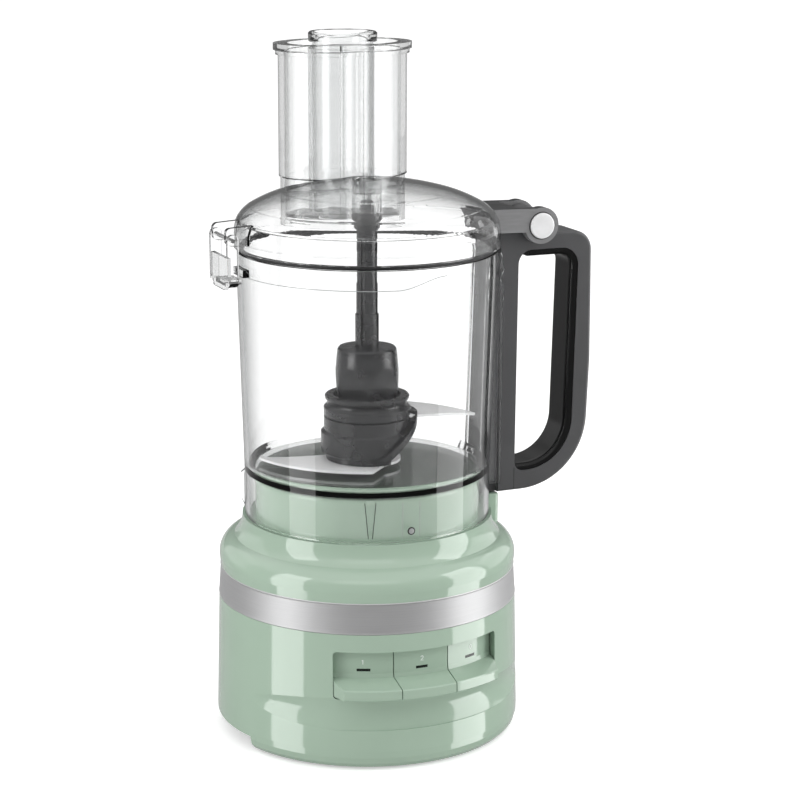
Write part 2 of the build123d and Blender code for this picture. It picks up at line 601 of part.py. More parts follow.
def latch_pin():
    """Pin that the clip swings on."""
    return Pos(LATCH_X, 0, LATCH_Z) * Rot(90, 0, 0) * Cylinder(1.2, 2 * LATCH_HALF + 0.4)


def food_pusher():
    """Kidney-shaped pusher: open cup with a sleeve for the small pusher and a flange."""
    shell = 1.0 + TUBE_T + 0.7
    body = prism(kidney(-shell), TUBE_Z0 + 3, TUBE_Z1 + 0.5)
    body += prism(kidney(3.0), TUBE_Z1 + 0.4, TUBE_Z1 + 4.4)
    body -= prism(kidney(-shell - 1.8), TUBE_Z0 + 5.5, TUBE_Z1 + 6)
    body += cyl(SLEEVE_R + 1.6, TUBE_Z0 + 3, TUBE_Z1 + 1, 0, TUBE_C)
    return body - cyl(SLEEVE_R, TUBE_Z0, TUBE_Z1 + 6, 0, TUBE_C)


def small_pusher():
    """Round cup that slides in the food pusher, with a rolled lip."""
    cup = lathe([(0, TUBE_Z0 + 3), (18.2, TUBE_Z0 + 3), (18.9, 425.4), (21.2, 425.6), (21.4, 430.4),
                 (20.4, 431.4), (19.0, 431.0), (17.0, 426), (16.6, TUBE_Z0 + 6), (0, TUBE_Z0 + 6)])
    return Pos(0, TUBE_C, 0) * cup


# ------------------------------------------------------------------ blade
def drive_stem():
    """Black stem: faceted foot over the drive dog, fluted rod, flared cap and centring pin."""
    stem = lathe([(0, 206.8), (8.4, 206.8), (8.4, SEAT_Z), (19.6, SEAT_Z + 0.05), (19.8, 214), (19.5, 228),
                  (18.6, 238), (18.2, 240.6), (17.2, 241.7), (7.3, 242.0), (7.3, 262), (6.6, 263),
                  (6.6, 281), (6.2, 282), (6.2, 316), (9.3, 321.5), (9.3, 324.3), (4.4, 324.8),
                  (4.4, 330.4), (3.4, 331.4), (0, 331.4)])
    lean = Pos(18.9, 0, 229.5) * Rot(0, HEAD_LEAN, 0) * block(0, 30, -30, 30, -20.5, 20)
    for i in range(HEAD_SIDES):
        stem -= Rot(0, 0, HEAD_FIRST_DEG + 360.0 * i / HEAD_SIDES) * lean
    for i in range(4):
        stem -= Rot(0, 0, 45 + 90 * i) * (block(5.4, 12, -1.2, 1.2, 243, 315))
    socket = Plane.XY.offset(206) * RegularPolygon(HEX_AF / 2 + 0.3, 6, major_radius=False)
    return stem - extrude(socket, DOG_Z1 + 1.5 - 206)


def on_ramp(shape):
    """Place a shape given level at the origin onto the hub's rising ramp."""
    return Rot(0, 0, RAMP_DEG) * Pos(0, 0, RAMP_Z) * Rot(0, -RAMP_TILT, 0) * shape


def blade_hub():
    """Black hub round the chimney: banded neck, body cut off along a rising ramp, foot on the lower blade."""
    hub = lathe([(0, HUB_Z0), (HUB_R - 1, HUB_Z0), (HUB_R, HUB_Z0 + 1), (HUB_R, 188.6), (26.8, 190.2),
                 (26.8, 198),
                 (26.1, 198.6), (26.8, 199.2), (26.9, 204.2), (25.0, 206.2), (24.6, 207.4), (26.1, 209.8),
                 (26.2, 211.2), (25.6, HUB_Z1), (SEAT_R, HUB_Z1), (SEAT_R, SEAT_Z), (0, SEAT_Z)])
    hub -= on_ramp(block(-60, 60, -60, 60, -60, 0))
    hub += on_ramp(block(-60, 60, -60, 60, 0, RAMP_T)) & cyl(RAMP_R, HUB_Z0 - 0.6, 200.4)
    hub += cyl(16.5, LOWER_BLADE_Z + BLADE_T, 206.2)
    foot = Rot(0, 0, RAMP_DEG) * block(-60, -2, -60, 60, 160, 180)
    hub += cyl(25.6, LOWER_BLADE_Z + BLADE_T, HUB_Z0 + 0.5) & foot
    hub -= cyl(HUB_BORE, 160, 206.2) + cyl(8.5, 200, HUB_Z1 + 1)
    return hub - blade(UPPER_BLADE_Z, LOWER_BLADE_DEG + 180, 22.0, 20.0)


def blade_plan(root_r, hole_r):
    """Scimitar blade in plan, tip near +X, with its root disc."""
    tip = BLADE_TIP
    lead = ThreePointArc((-3.5, 37), (38, 28), tip)
    trail = ThreePointArc(tip, (44, 0.5), (16, -8))
    crescent = make_face(Wire([lead, trail, Line((16, -8), (-10.4, 20)), Line((-10.4, 20), (-3.5, 37))]))
    return crescent + Circle(root_r) - Circle(hole_r)


def blade(z, turn, root_r, hole_r):
    """Steel blade at a height, its leading edge ground to a bevel."""
    body = prism(blade_plan(root_r, hole_r), z, z + BLADE_T)
    return Rot(0, 0, turn) * body


def save(node, shape):
    """Write one node."""
    export_step(shape, f"parts/{node}.step")


def main():
    os.makedirs("parts", exist_ok=True)
    save("lower_housing", lower_housing())
    save("upper_housing", upper_housing())
    save("trim_band", trim_band())
    save("bottom_cover", bottom_cover())
    save("feet", group(around(foot(), 4, 45)))
    save("cover_screws", group(around(pan_screw(80, FOOT_H, 18), 4, 45)))
    save("cord_gland", cord_gland())
    save("switch_bracket", switch_bracket())
    save("push_switches", group([push_switch(i) for i in range(len(BUTTON_MID_X))]))
    save("control_board", control_board())
    save("interlock_switch", block(78, 87, -9, 9, 103, 112.8))
    for i in range(len(BUTTON_MID_X)):
        save(f"button_{i + 1}", button(i))
        save(f"button_lens_{i + 1}", button_lens(i))
    save("stator_core", stator_core())
    save("stator_windings", stator_windings())
    save("motor_lower_bracket", motor_bracket(STATOR_Z0, 12.5, -1))
    save("motor_upper_bracket", motor_bracket(STATOR_Z1, 79.5, 1))
    save("lower_bearing", bearing(13.5))
    save("upper_bearing", bearing(80.5))
    save("motor_bolts", group(around(motor_bolt(), 4, 45)))
    save("motor_mounts", group(around(cyl(5.6, 82.05, 93.95, 49), 4)))
    save("spindle_bush", ring(8.95, SHAFT_R + RUN, 153, PEDESTAL_Z - 0.5))
    save("motor_shaft", motor_shaft())
    save("rotor", rotor())
    save("cooling_fan", cooling_fan())
    save("bowl", bowl())
    save("handle_frame", handle_frame())
    save("handle_grip", handle_grip())
    save("interlock_rod", interlock_rod())
    save("interlock_plunger", interlock_plunger())
    save("lid", lid())
    save("lid_gasket", lid_gasket())
    save("hinge_yoke", hinge_yoke())
    save("yoke_plate", yoke_plate())
    save("yoke_screws", yoke_screws())
    save("hinge_pin", hinge_pin())
    save("pin_cap_front", pin_cap(-1))
    save("pin_cap_back", pin_cap(1))
    save("latch", latch())
    save("latch_pin", latch_pin())
    save("food_pusher", food_pusher())
    save("small_pusher", small_pusher())
    save("drive_stem", drive_stem())
    save("blade_hub", blade_hub())
    save("lower_blade", blade(LOWER_BLADE_Z, LOWER_BLADE_DEG, 21.0, HUB_BORE))
    save("upper_blade", blade(UPPER_BLADE_Z, LOWER_BLADE_DEG + 180, 22.0, 20.0))


main()
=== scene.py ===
"""Looks of the food processor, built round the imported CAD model. Metres, in the CAD model's frame."""
import json
import math

import bpy
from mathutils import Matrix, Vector


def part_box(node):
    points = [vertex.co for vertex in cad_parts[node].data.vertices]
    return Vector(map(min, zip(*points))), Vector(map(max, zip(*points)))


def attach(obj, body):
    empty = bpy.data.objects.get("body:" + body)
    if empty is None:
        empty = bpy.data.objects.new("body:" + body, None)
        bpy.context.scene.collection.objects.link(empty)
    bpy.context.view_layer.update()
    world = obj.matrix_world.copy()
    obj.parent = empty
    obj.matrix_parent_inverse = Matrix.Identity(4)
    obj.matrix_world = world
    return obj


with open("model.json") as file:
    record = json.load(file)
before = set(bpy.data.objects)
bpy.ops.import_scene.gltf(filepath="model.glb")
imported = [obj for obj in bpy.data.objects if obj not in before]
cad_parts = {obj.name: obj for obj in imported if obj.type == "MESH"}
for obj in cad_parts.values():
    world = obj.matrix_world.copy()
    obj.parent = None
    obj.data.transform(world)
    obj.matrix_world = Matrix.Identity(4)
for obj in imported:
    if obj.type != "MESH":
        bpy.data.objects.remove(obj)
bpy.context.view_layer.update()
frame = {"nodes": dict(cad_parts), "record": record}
NODES = frame["nodes"]

# ---- camera ----
CAMERA_AZ = math.radians(-22.0)     # turned towards the latch side
CAMERA_PITCH = math.radians(13.4)
CAMERA_DIST = 1.458
LOOK_AT_Z = 0.2075
LENS_MM = 105.75
SENSOR_MM = 36.0
SHIFT_X = 0.04125
# ---- studio ----
TOP_FIELD = (0.34, 0.66)            # upward part of a direction: grey to white
SIDE_GREY, FRONT_GREY = 0.20, 0.24  # level of the tent's walls
LOW_FIELD, LOW_GREY = (0.20, 0.90), 0.50                # forward part of a direction, below the table
FLOOR_SIZE = 16.0
FLOOR_WHITE, FLOOR_GLOW = 0.85, 0.45
FLOOR_GREY = 0.70                   # the floor's level in the light it throws back on the object
LIGHT_BOUNCES = 28                  # the pushers stand many clear walls deep
# ---- plastics ----
CLEAR_IOR = 1.38
CLEAR_TINT = (0.988, 0.990, 0.990)
PAINTED_EDGE_SHADE = (0.28, 0.29, 0.29)      # painted shade on clear plastic seen at a slant, in place of the dark it refracts
EDGE_FIELD = (0.50, 0.95)           # how slanted: from the clear tint to the painted edge shade
HAZE = (0.60, 0.61, 0.607)          # what is left of light after a long way inside clear plastic
PEDESTAL_PAINTED_SHADE = (0.13, 0.14, 0.13)  # painted shade: dark tint multiplied onto the flat top under the bowl
SHARP_BLACK, SHARP_OTHERS = 14, 28  # degrees at which shading breaks into a hard edge
# ---- places on the object; boxes come from the frame ----
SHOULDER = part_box("upper_housing")
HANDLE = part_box("handle_frame")
FACE_R = 0.0881                     # just proud of the buttons' faces
NUMERAL_Z = {"button_1": 0.0673, "button_2": 0.0677, "button_3": 0.0680}
NUMERAL_STROKE = 0.00045
DOT_AZ, DOT_Z, DOT_R = math.radians(-1.7), 0.1442, 0.0024
DOT_STRIP = math.radians(4.1)       # half width of the plain strip the dot stands in
RIB_AZ = [math.radians(a) for a in (-20.5, -110.5, 159.5)]
RIB_HALF = (math.radians(0.9), math.radians(2.5))       # the skirt's ribs: foot, head
SKIRT_Z = (0.1405, 0.1625)
SKIRT_R = 0.0764
CAP_R, CAP_GAP = 0.0080, 0.0007
SEAM_X, SEAM_Z = 0.0952, (0.1437, 0.1580)
BOWL_R = 0.0798
LINE_Z = (0.2910, 0.2976)           # the bowl's fill line: main run, and where it climbs
LINE_TURN = (math.radians(-9.0), math.radians(13.0))
LINE_ENDS = (math.radians(-112.0), math.radians(14.0))
COLLAR_Z = 0.3435                   # step in the feed tube
TUBE_AXIS = (0.0, 0.040)
BEARING_STEP = 2                    # degrees between the points of that line
COLLAR_MID, COLLAR_HALF = -52, 48   # that line's middle bearing and half its length, in those steps
COLLAR_SLACK = 0.00005              # how far from that height a corner of the tube may be
BEAD, FINE_BEAD, COLLAR_BEAD = 0.00022, 0.00018, 0.0004      # radii of raised lines
SEAM_WIDTH, INK = 0.0004, 0.00004           # parting line's width; thickness of flat lines


# ------------------------------------------------------------------ small helpers
def collect(obj):
    bpy.context.scene.collection.objects.link(obj)
    return obj


def new_mesh(name, verts, faces, material, smooth=True):
    mesh = bpy.data.meshes.new(name)
    mesh.from_pydata([tuple(v) for v in verts], [], faces)
    mesh.validate()
    mesh.materials.append(material)
    if smooth:
        mesh.shade_smooth()
    return collect(bpy.data.objects.new(name, mesh))


def between(span, i, count):
    """Value at step i of count from one end of a span to the other."""
    return span[0] + (span[1] - span[0]) * i / count


def sharpen(obj, degrees):
    """Smooth shading with hard edges kept above an angle."""
    mesh = obj.data
    mesh.shade_smooth()
    mesh.set_sharp_from_angle(angle=math.radians(degrees))


# ------------------------------------------------------------------ materials
class Nodes:
    """Short way to write a shader tree."""

    def __init__(self, name):
        self.material = bpy.data.materials.new(name)
        self.material.use_nodes = True
        self.tree = self.material.node_tree
        self.shader = self.tree.nodes["Principled BSDF"]
        self.coords = self.tree.nodes.new("ShaderNodeTexCoord").outputs["Object"]

    def add(self, kind, **values):
        node = self.tree.nodes.new(kind)
        for key, value in values.items():
            setattr(node, key, value)
        return node

    def link(self, source, target):
        self.tree.links.new(source, target)

    def scaled(self, x, y, z):
        mapping = self.add("ShaderNodeMapping")
        mapping.inputs["Scale"].default_value = (x, y, z)
        self.link(self.coords, mapping.inputs["Vector"])
        return mapping.outputs["Vector"]

    def noise(self, vector, scale, detail=4.0, rough=0.5):
        node = self.add("ShaderNodeTexNoise")
        node.inputs["Scale"].default_value = scale
        node.inputs["Detail"].default_value = detail
        node.inputs["Roughness"].default_value = rough
        self.link(vector, node.inputs["Vector"])
        return node.outputs["Fac"]

    def remap(self, value, low, high, start=0.3, end=0.7):
        node = self.add("ShaderNodeMapRange")
        node.inputs["From Min"].default_value = start
        node.inputs["From Max"].default_value = end
        node.inputs["To Min"].default_value = low
        node.inputs["To Max"].default_value = high
        self.link(value, node.inputs["Value"])
        return node.outputs["Result"]

    def blend(self, value, first, second, kind="MIX"):
        """Mix of two colours; the first may be a socket."""
        node = self.add("ShaderNodeMix", data_type="RGBA", blend_type=kind)
        if isinstance(first, tuple):
            node.inputs["A"].default_value = (*first, 1.0)
        else:
            self.link(first, node.inputs["A"])
        node.inputs["B"].default_value = (*second, 1.0)
        self.link(value, node.inputs["Factor"])
        return node.outputs["Result"]

    def bump(self, height, strength, distance):
        node = self.add("ShaderNodeBump")
        node.inputs["Strength"].default_value = strength
        node.inputs["Distance"].default_value = distance
        self.link(height, node.inputs["Height"])
        self.link(node.outputs["Normal"], self.shader.inputs["Normal"])

    def set(self, **values):
        for key, value in values.items():
            self.shader.inputs[key.replace("_", " ")].default_value = value

    def colour(self, socket):
        self.link(socket, self.shader.inputs["Base Color"])

    def roughness(self, socket):
        self.link(socket, self.shader.inputs["Roughness"])


def moulded_plastic(name, dark, light, rough, coat=0.0, grain=0.00002, grain_scale=900.0):
    """Moulded plastic: faint colour drift, uneven gloss and a fine surface texture."""
    n = Nodes(name)
    drift = n.noise(n.scaled(1, 1, 1), 22.0, 3.0)
    n.colour(n.blend(n.remap(drift, 0.0, 1.0), dark, light))
    n.roughness(n.remap(n.noise(n.scaled(1, 1, 1), 60.0), rough * 0.85, rough * 1.15))
    n.bump(n.noise(n.scaled(1, 1, 1), grain_scale, 2.0), 0.35, grain)
    n.set(Coat_Weight=coat, Coat_Roughness=0.06)
    return n.material


def clear_plastic(name, tint, rough, haze_density):
    """Clear moulded plastic: faint flow marks, painted shade at a slant, and darker where light runs far
    inside it.
    """
    n = Nodes(name)
    flow = n.noise(n.scaled(1, 1, 0.25), 26.0, 2.0)
    # painted shade: the base colour turns grey where the surface is seen at a slant
    slant = n.remap(n.add("ShaderNodeLayerWeight").outputs["Facing"], 0.0, 1.0, *EDGE_FIELD)
    body = n.blend(n.remap(flow, 0.0, 1.0), tuple(c * 0.985 for c in tint), tint)
    n.colour(n.blend(slant, body, PAINTED_EDGE_SHADE))
    n.roughness(n.remap(n.noise(n.scaled(1, 1, 1), 140.0), rough * 0.3, rough))
    n.bump(flow, 0.2, 0.00005)
    n.set(Transmission_Weight=1.0, IOR=CLEAR_IOR)
    haze = n.add("ShaderNodeVolumeAbsorption")
    haze.inputs["Color"].default_value = (*HAZE, 1.0)
    haze.inputs["Density"].default_value = haze_density
    n.link(haze.outputs["Volume"], n.tree.nodes["Material Output"].inputs["Volume"])
    return n.material


def brushed_band(name):
    """Satin metal, brushed round the waist."""
    n = Nodes(name)
    streaks = n.noise(n.scaled(1.2, 1.2, 160.0), 22.0, 6.0, 0.7)
    n.colour(n.blend(n.remap(streaks, 0.0, 1.0), (0.50, 0.50, 0.505), (0.58, 0.58, 0.585)))
    n.roughness(n.remap(streaks, 0.46, 0.56))
    n.bump(streaks, 0.2, 0.00003)
    n.set(Metallic=0.7)
    return n.material


def ground_steel(name, tone, low, high, stretch=(1.0, 40.0, 1.0), metal=1.0):
    """Ground or polished steel with fine grinding lines."""
    n = Nodes(name)
    lines = n.noise(n.scaled(*stretch), 60.0, 5.0, 0.65)
    dark, light = (0.92 * tone, 0.92 * tone, 0.92 * tone), (tone, tone, tone * 1.01)
    n.colour(n.blend(n.remap(lines, 0.0, 1.0), dark, light))
    n.roughness(n.remap(lines, low, high))
    n.bump(lines, 0.15, 0.00002)
    n.set(Metallic=metal)
    return n.material


def soft_rubber(name, dark, light, rough=0.6):
    """Rubber: dull, with a fine matt grain."""
    return moulded_plastic(name, dark, light, rough, 0.0, 0.00004, 1400.0)


def housing_plastic(name, dark, light, painted_shade_from=None):
    """Glossy coloured plastic; above a height the pedestal's flat top gets painted shade, a dark tint
    multiplied into its colour.
    """
    n = Nodes(name)
    drift = n.noise(n.scaled(1, 1, 1), 22.0, 3.0)
    colour = n.blend(n.remap(drift, 0.0, 1.0), dark, light)
    if painted_shade_from is not None:
        # painted shade: above the height the colour is multiplied by the dark tint
        split = n.add("ShaderNodeSeparateXYZ")
        n.link(n.coords, split.inputs["Vector"])
        painted_shade_amount = n.remap(split.outputs["Z"], 0.0, 1.0, painted_shade_from, painted_shade_from + 0.001)
        colour = n.blend(painted_shade_amount, colour, PEDESTAL_PAINTED_SHADE, "MULTIPLY")
    n.colour(colour)
    n.roughness(n.remap(n.noise(n.scaled(1, 1, 1), 60.0), 0.09, 0.12))
    n.bump(n.noise(n.scaled(1, 1, 1), 500.0, 2.0), 0.3, 0.000004)
    n.set(Coat_Weight=0.6, Coat_Roughness=0.04)
    return n.material


def yoke_painted_shade(name, top, side, rough):
    """Fork of the lid: glossy, with painted shade by facing: near black on faces that point up, lighter satin
    grey on the cheeks.
    """
    n = Nodes(name)
    facing = n.add("ShaderNodeSeparateXYZ")
    n.link(n.add("ShaderNodeTexCoord").outputs["Normal"], facing.inputs["Vector"])
    grain = n.noise(n.scaled(1, 8, 8), 90.0, 4.0)
    lit_cheek = n.blend(n.remap(grain, 0.0, 1.0), side, tuple(1.15 * c for c in side))
    # painted shade: faces pointing up take the dark colour, the sides the lighter one
    n.colour(n.blend(n.remap(facing.outputs["Z"], 0.0, 1.0, 0.5, 0.8), lit_cheek, top))
    n.roughness(n.remap(grain, rough * 0.85, rough * 1.15))
    n.bump(grain, 0.3, 0.00002)
    return n.material


GREEN_DARK, GREEN_LIGHT = (0.362, 0.476, 0.378), (0.377, 0.492, 0.393)
GREEN = housing_plastic("pistachio_plastic", GREEN_DARK, GREEN_LIGHT)
# pedestal: painted shade on the flat top, from just below the top of the upper housing
PEDESTAL_SHADED = housing_plastic("pistachio_pedestal_painted_shade", GREEN_DARK, GREEN_LIGHT, SHOULDER[1][2] - 0.0015)
BAND = brushed_band("brushed_band")
CHARCOAL = moulded_plastic("charcoal_plastic", (0.062, 0.062, 0.064), (0.070, 0.070, 0.073), 0.36,
                           grain_scale=1500.0)
# yoke: its dark top and lighter cheeks are painted shade, set by which way each face points
YOKE_PAINTED_SHADE = yoke_painted_shade("yoke_painted_shade", (0.012, 0.012, 0.013), (0.19, 0.19, 0.193), 0.4)
GRIP_SKIN = moulded_plastic("grip_skin", (0.004, 0.004, 0.004), (0.006, 0.006, 0.006), 0.24,
                            grain=0.000002, grain_scale=300.0)
GRIP_SKIN.node_tree.nodes["Principled BSDF"].inputs["Specular IOR Level"].default_value = 0.3
BLACK = moulded_plastic("black_plastic", (0.005, 0.005, 0.006), (0.008, 0.008, 0.009), 0.26,
                        coat=0.2, grain=0.000003, grain_scale=300.0)
CLEAR = clear_plastic("clear_plastic", CLEAR_TINT, 0.004, 16.0)
BOWL_CLEAR = clear_plastic("clear_bowl", CLEAR_TINT, 0.004, 26.0)
RUBBER = soft_rubber("seal_rubber", (0.012, 0.012, 0.013), (0.020, 0.020, 0.021))
STEEL = ground_steel("ground_steel", 0.62, 0.22, 0.32)
BLADE = ground_steel("blade_steel", 0.98, 0.12, 0.20, (30.0, 2.0, 1.0), 0.25)
CHROME = ground_steel("satin_chrome", 0.95, 0.30, 0.36, (1.0, 1.0, 2.0), 0.3)
LENS = moulded_plastic("lens_plastic", (0.004, 0.010, 0.006), (0.008, 0.014, 0.010), 0.25)
COPPER = ground_steel("enamelled_copper", 0.5, 0.3, 0.45)
BOARD = moulded_plastic("board_green", (0.010, 0.060, 0.025), (0.016, 0.080, 0.035), 0.5)
PRINT = moulded_plastic("white_print", (0.75, 0.80, 0.76), (0.82, 0.86, 0.83), 0.45)
# near black: the handle post's parting line, and painted shade on the clear bowl's ribs and dot rim, round
# the pin caps and at the feed tube's step
SEAM_AND_SHADE = moulded_plastic("seam_shadow", (0.010, 0.010, 0.010), (0.020, 0.020, 0.020), 0.5)
# light grey on raised lines and the dot of the clear bowl: painted highlight, the light these clear ridges
# catch
RIDGE_HIGHLIGHT = moulded_plastic("ridge_painted_highlight", (0.30, 0.31, 0.31), (0.38, 0.39, 0.39), 0.3)

SLOT_MATERIAL = {"green_plastic": GREEN, "satin_band": BAND, "black_plastic": BLACK,
                 "charcoal_plastic": CHARCOAL, "soft_grip": GRIP_SKIN, "clear_plastic": CLEAR,
                 "rubber": RUBBER, "steel": STEEL, "blade_steel": BLADE, "chrome": CHROME, "lens": LENS,
                 "copper": COPPER, "laminations": STEEL, "zinc": STEEL, "board": BOARD}


def dress_cad_nodes():
    """Give every CAD node its material and clean shading; clear parts let light through to what they hold."""
    for part in frame["record"]["subparts"]:
        obj, slot = NODES[part["node"]], part["material_slot"]
        obj.data.materials.clear()
        obj.data.materials.append(SLOT_MATERIAL[slot])
        sharpen(obj, SHARP_BLACK if slot == "black_plastic" else SHARP_OTHERS)
        obj.visible_shadow = slot != "clear_plastic"
    NODES["upper_housing"].data.materials[0] = PEDESTAL_SHADED
    NODES["hinge_yoke"].data.materials[0] = YOKE_PAINTED_SHADE
    NODES["bowl"].data.materials[0] = BOWL_CLEAR


# ------------------------------------------------------------------ detail pieces
def ribbon(lines, width):
    """Flat strokes along lines of (u, v) points: corner points and quads."""
    verts, faces = [], []
    for line in lines:
        first = len(verts)
        for i, (u, v) in enumerate(line):
            before, after = line[max(i - 1, 0)], line[min(i + 1, len(line) - 1)]
            along = Vector((after[0] - before[0], after[1] - before[1])).normalized()
            side = Vector((-along.y, along.x)) * width / 2
            verts += [(u + side.x, v + side.y), (u - side.x, v - side.y)]
        faces += [(k, k + 1, k + 3, k + 2) for k in range(first, len(verts) - 2, 2)]
    return verts, faces


def bow(u, v, half_u, half_v, start, end, count=24):
    """Points along an elliptical arc, in degrees."""
    turns = [math.radians(between((start, end), i, count)) for i in range(count + 1)]
    return [(u + half_u * math.cos(t), v + half_v * math.sin(t)) for t in turns]


def numeral_lines(name):
    """Strokes of the numeral on a button, about 3 mm tall, centred on its origin."""
    mm = 0.001
    if name == "button_1":
        return [[(-0.55 * mm, 0.85 * mm), (0.1 * mm, 1.35 * mm), (0.1 * mm, -1.4 * mm)]]
    if name == "button_2":
        foot = [(-0.85 * mm, -1.3 * mm), (0.95 * mm, -1.3 * mm)]
        return [bow(0, 0.6 * mm, 0.8 * mm, 0.8 * mm, 160, -35) + foot]
    return [bow(0, 0, 0.8 * mm, 1.3 * mm, 0, 360, 40)]


def make_numeral(name):
    """Printed numeral wrapped on a button's curved face."""
    verts, faces = ribbon(numeral_lines(name), NUMERAL_STROKE)
    low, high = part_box(name)
    middle = (low[0] + high[0]) / 2
    wrapped = []
    for u, v in verts:
        x = middle + u
        wrapped.append((x, -math.sqrt(FACE_R ** 2 - x ** 2), NUMERAL_Z[name] + v))
    numeral = new_mesh("numeral_" + name[-1], wrapped, faces, PRINT, smooth=False)
    numeral.modifiers.new("ink", "SOLIDIFY").thickness = INK
    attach(numeral, name)


def tube_mesh(name, path, radius, material, sides=8):
    """Thin round bead along a path."""
    last = len(path) - 1
    verts, faces = [], []
    for i, point in enumerate(path):
        along = (path[min(i + 1, last)] - path[max(i - 1, 0)]).normalized()
        across = Vector((0, 0, 1)) if abs(along.z) < 0.7 else Vector((point.y, -point.x, 0))
        side = along.cross(across).normalized()
        up = side.cross(along)
        for k in range(sides):
            turn = 2 * math.pi * k / sides
            verts.append(point + radius * (math.cos(turn) * side + math.sin(turn) * up))
    for i in range(last):
        for k in range(sides):
            a, b = i * sides, (i + 1) * sides
            faces.append((a + k, a + (k + 1) % sides, b + (k + 1) % sides, b + k))
    return new_mesh(name, verts, faces, material)


def lathe_patch(name, profile, material, place, outward, count=40):
    """Round detail turned from (radius, height) pairs about an outward direction."""
    turn = Vector(outward).to_track_quat("Z", "Y")
    verts, faces = [], []
    for radius, height in profile:
        for k in range(count):
            angle = 2 * math.pi * k / count
            spot = Vector((radius * math.cos(angle), radius * math.sin(angle), height))
            verts.append(place + turn @ spot)
    for row in range(len(profile) - 1):
        for k in range(count):
            a, b = row * count, (row + 1) * count
            faces.append((a + k, a + (k + 1) % count, b + (k + 1) % count, b + k))
    return new_mesh(name, verts, faces, material)


def around_spindle(radius, azimuth, z):
    """Point at an azimuth measured from the front, counter-clockwise seen from above."""
    return Vector((math.sin(azimuth) * radius, -math.cos(azimuth) * radius, z))


def make_alignment_dot():
    """Raised dot on the bowl's skirt: its dome drawn in painted highlight, its rim in painted shade."""
    place = around_spindle(SKIRT_R, DOT_AZ, DOT_Z)
    outward = around_spindle(1.0, DOT_AZ, 0.0)
    dome = [(0.00005, 0.0006), (DOT_R * 0.3, 0.00055), (DOT_R * 0.55, 0.00045), (DOT_R * 0.72, 0.0003)]
    rim = [(DOT_R * 0.72, 0.0003), (DOT_R * 0.85, 0.00035), (DOT_R, 0.0002), (DOT_R * 1.02, -0.0002)]
    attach(lathe_patch("dot_dome", dome, RIDGE_HIGHLIGHT, place, outward), "bowl")
    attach(lathe_patch("dot_rim", rim, SEAM_AND_SHADE, place, outward), "bowl")


def make_skirt_lines():
    """Painted shade along the edges of the tapered ribs in the skirt, and painted highlight along the edges
    of the plain strip round the dot.
    """
    count = 10
    # dark beads: painted shade at the rib edges; light beads: painted highlight at the strip round the dot
    edges = [(azimuth, side, RIB_HALF, SEAM_AND_SHADE, BEAD) for azimuth in RIB_AZ for side in (-1, 1)]
    edges += [(DOT_AZ, side, (DOT_STRIP, DOT_STRIP), RIDGE_HIGHLIGHT, FINE_BEAD) for side in (-1, 1)]
    for number, (azimuth, side, half, material, radius) in enumerate(edges):
        path = []
        for i in range(count + 1):
            turn = azimuth + side * between(half, i, count)
            path.append(around_spindle(SKIRT_R, turn, between(SKIRT_Z, i, count)))
        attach(tube_mesh("skirt_line_%d" % number, path, radius, material), "bowl")


def make_cap_gap_shadow():
    """Painted shadow: a dark ring in the gap round each hinge pin cap."""
    for name in ("pin_cap_front", "pin_cap_back"):
        low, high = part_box(name)
        outward = -1.0 if low[1] + high[1] < 0 else 1.0
        root = high[1] if outward < 0 else low[1]
        place = Vector(((low[0] + high[0]) / 2, root, (low[2] + high[2]) / 2))
        inner, outer = CAP_R + 0.00005, CAP_R + CAP_GAP
        profile = [(inner, 0.0002), (inner + 0.0001, 0.00012), (outer - 0.0001, 0.00012), (outer, 0.00002)]
        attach(lathe_patch("gap_" + name, profile, SEAM_AND_SHADE, place, (0, outward, 0), 64), "lid")


def make_post_seam():
    """Short parting line low on the handle's post, on both sides."""
    proud = 0.00003
    count = 12
    line = [(SEAM_X, between(SEAM_Z, i, count)) for i in range(count + 1)]
    for side, y in (("near", HANDLE[0][1] - proud), ("far", HANDLE[1][1] + proud)):
        verts, faces = ribbon([line], SEAM_WIDTH)
        seam = new_mesh("post_seam_" + side, [(u, y, v) for u, v in verts], faces, SEAM_AND_SHADE, smooth=False)
        seam.modifiers.new("depth", "SOLIDIFY").thickness = INK
        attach(seam, "bowl")


def make_fill_line():
    """Fine moulded line round the front of the bowl that climbs to the rim before the handle, drawn in the
    light grey of painted highlight.
    """
    count = 180
    path = []
    for i in range(count + 1):
        azimuth = between(LINE_ENDS, i, count)
        t = min(1.0, max(0.0, (azimuth - LINE_TURN[0]) / (LINE_TURN[1] - LINE_TURN[0])))
        height = LINE_Z[0] + (LINE_Z[1] - LINE_Z[0]) * t * t * (3 - 2 * t)
        path.append(around_spindle(BOWL_R, azimuth, height))
    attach(tube_mesh("fill_line", path, BEAD, RIDGE_HIGHLIGHT), "bowl")


def make_collar_line():
    """Painted shade: a dark line where the front of the feed tube steps out above its collar, along the
    tube's outline, in place of the dark the clear step refracts.
    """
    step = {}
    for vertex in NODES["lid"].data.vertices:
        place = vertex.co
        if abs(place.z - COLLAR_Z) < COLLAR_SLACK:
            offset = Vector((place.x - TUBE_AXIS[0], place.y - TUBE_AXIS[1]))
            bearing = round(math.degrees(math.atan2(offset.y, offset.x)) / BEARING_STEP)
            if abs(bearing - COLLAR_MID) > COLLAR_HALF:
                continue
            if bearing not in step or offset.length < step[bearing].length:
                step[bearing] = offset
    path = [Vector((TUBE_AXIS[0] + step[k].x, TUBE_AXIS[1] + step[k].y, COLLAR_Z)) for k in sorted(step)]
    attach(tube_mesh("collar_shade_line", path, COLLAR_BEAD, SEAM_AND_SHADE), "lid")


